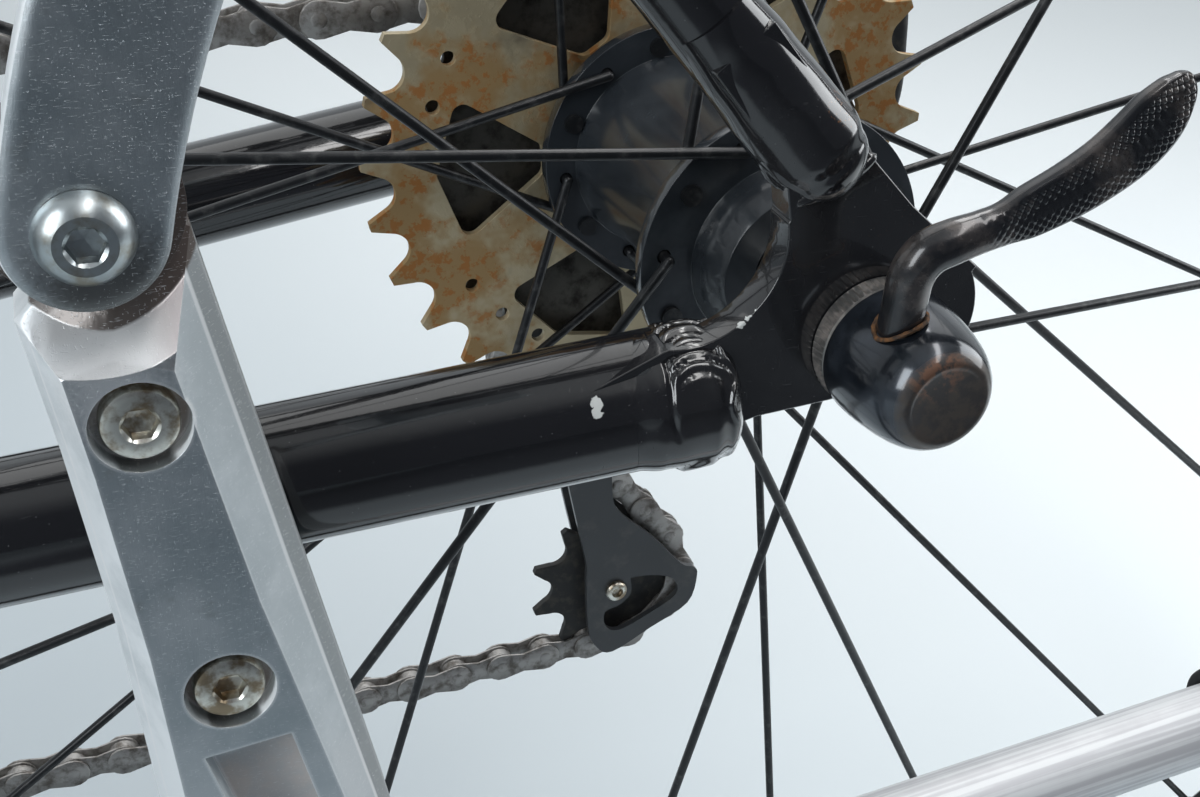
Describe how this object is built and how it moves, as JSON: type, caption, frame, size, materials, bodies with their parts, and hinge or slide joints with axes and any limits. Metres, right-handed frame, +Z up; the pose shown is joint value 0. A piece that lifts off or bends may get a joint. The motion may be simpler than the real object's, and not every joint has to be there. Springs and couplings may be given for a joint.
{
  "type": "bicycle rear end",
  "caption": "Rear end of a hybrid bicycle: rear triangle with wheel, cassette, derailleur, chain, crankset, quick release and side stand.",
  "frame": {"origin": "centre of the seat-post bore's mouth, at the top of the seat tube", "axes": "+X forward, +Y to the rider's left, along the wheel's axle, +Z up"},
  "size_m": [0.9615, 0.1814, 0.7601],
  "materials": {
    "axle_steel": "dull",
    "bearing_steel": "satin",
    "black_frame": "gloss black enamel",
    "bolt_steel": "plated",
    "chain_steel": "oily",
    "crank_black": "satin black",
    "dark_sprockets": "oily",
    "derailleur_black": "satin black",
    "foot_rubber": "matt",
    "housing_black": "satin",
    "hub_black": "gloss black",
    "pulley_plastic": "matt",
    "release_black": "worn satin black",
    "rim_black": "satin black",
    "ring_steel": "satin",
    "spoke_black": "satin black",
    "stand_aluminium": "satin, scratched",
    "tyre": "matt",
    "worn_sprocket": "dull, rust spots"
  },
  "bodies": {
    "frame": {"axle": "axle_steel", "bottom_bracket_cup_left": "bearing_steel", "bottom_bracket_cup_right": "bearing_steel", "bottom_bracket_shell": "black_frame", "chain": "chain_steel", "chainstay_bridge": "black_frame", "chainstay_left": "black_frame", "chainstay_right": "black_frame", "derailleur_body": "derailleur_black", "derailleur_cage": "derailleur_black", "dropout_left": "black_frame", "dropout_right": "black_frame", "housing_stop": "black_frame", "pulley_guide": "pulley_plastic", "pulley_tension": "pulley_plastic", "quick_release_barrel": "release_black", "quick_release_lever": "release_black", "quick_release_nut": "release_black", "quick_release_ring": "release_black", "quick_release_skewer": "bearing_steel", "seat_collar": "black_frame", "seat_tube": "black_frame", "seatstay_bridge": "black_frame", "seatstay_left": "black_frame", "seatstay_right": "black_frame", "shift_housing": "housing_black", "stand_backing_plate": "stand_aluminium", "stand_body": "stand_aluminium", "stand_bolt_lower": "bolt_steel", "stand_bolt_upper": "bolt_steel", "stand_hinge_pin": "bolt_steel", "stand_pivot_bolt": "bolt_steel", "stand_stay_block": "stand_aluminium", "stand_stay_bolt_front": "bolt_steel", "stand_stay_bolt_rear": "bolt_steel", "stand_stay_strap": "stand_aluminium", "stand_upper_arm": "stand_aluminium"},
    "wheel": {"hub_shell": "hub_black", "rim": "rim_black", "spokes_left": "spoke_black", "spokes_right": "spoke_black", "tyre": "tyre", "valve": "bolt_steel"},
    "cassette": {"cassette_carrier": "dark_sprockets", "cassette_large_sprocket": "worn_sprocket", "cassette_lockring": "dark_sprockets", "cassette_small_sprockets": "dark_sprockets"},
    "crankset": {"chainring_bolts": "bolt_steel", "chainring_inner": "ring_steel", "chainring_outer": "ring_steel", "crank_arm_left": "crank_black", "crank_arm_right": "crank_black", "crank_spindle": "bearing_steel"},
    "stand_leg": {"stand_foot": "foot_rubber", "stand_leg": "stand_aluminium"}
  },
  "joints": [
    {"name": "wheel_spin", "type": "hinge", "parent": "frame", "child": "wheel", "pos_m": [-0.28543, 0, -0.40815], "axis": [0, 1, 0], "continuous": true},
    {"name": "crank_spin", "type": "hinge", "parent": "frame", "child": "crankset", "pos_m": [0.14619, 0, -0.47815], "axis": [0, 1, 0], "continuous": true},
    {"name": "cassette_spin", "type": "hinge", "parent": "frame", "child": "cassette", "pos_m": [-0.28543, 0, -0.40815], "axis": [0, 1, 0], "continuous": true},
    {"name": "stand_swing", "type": "hinge", "parent": "frame", "child": "stand_leg", "pos_m": [-0.19743, 0.078, -0.52565], "axis": [-0.0191, -0.984, -0.1773], "range_deg": [0, 107.6]}
  ],
  "couplings": [
    {"joint": "cassette_spin", "follows": "crank_spin", "ratio": 4}
  ]
}
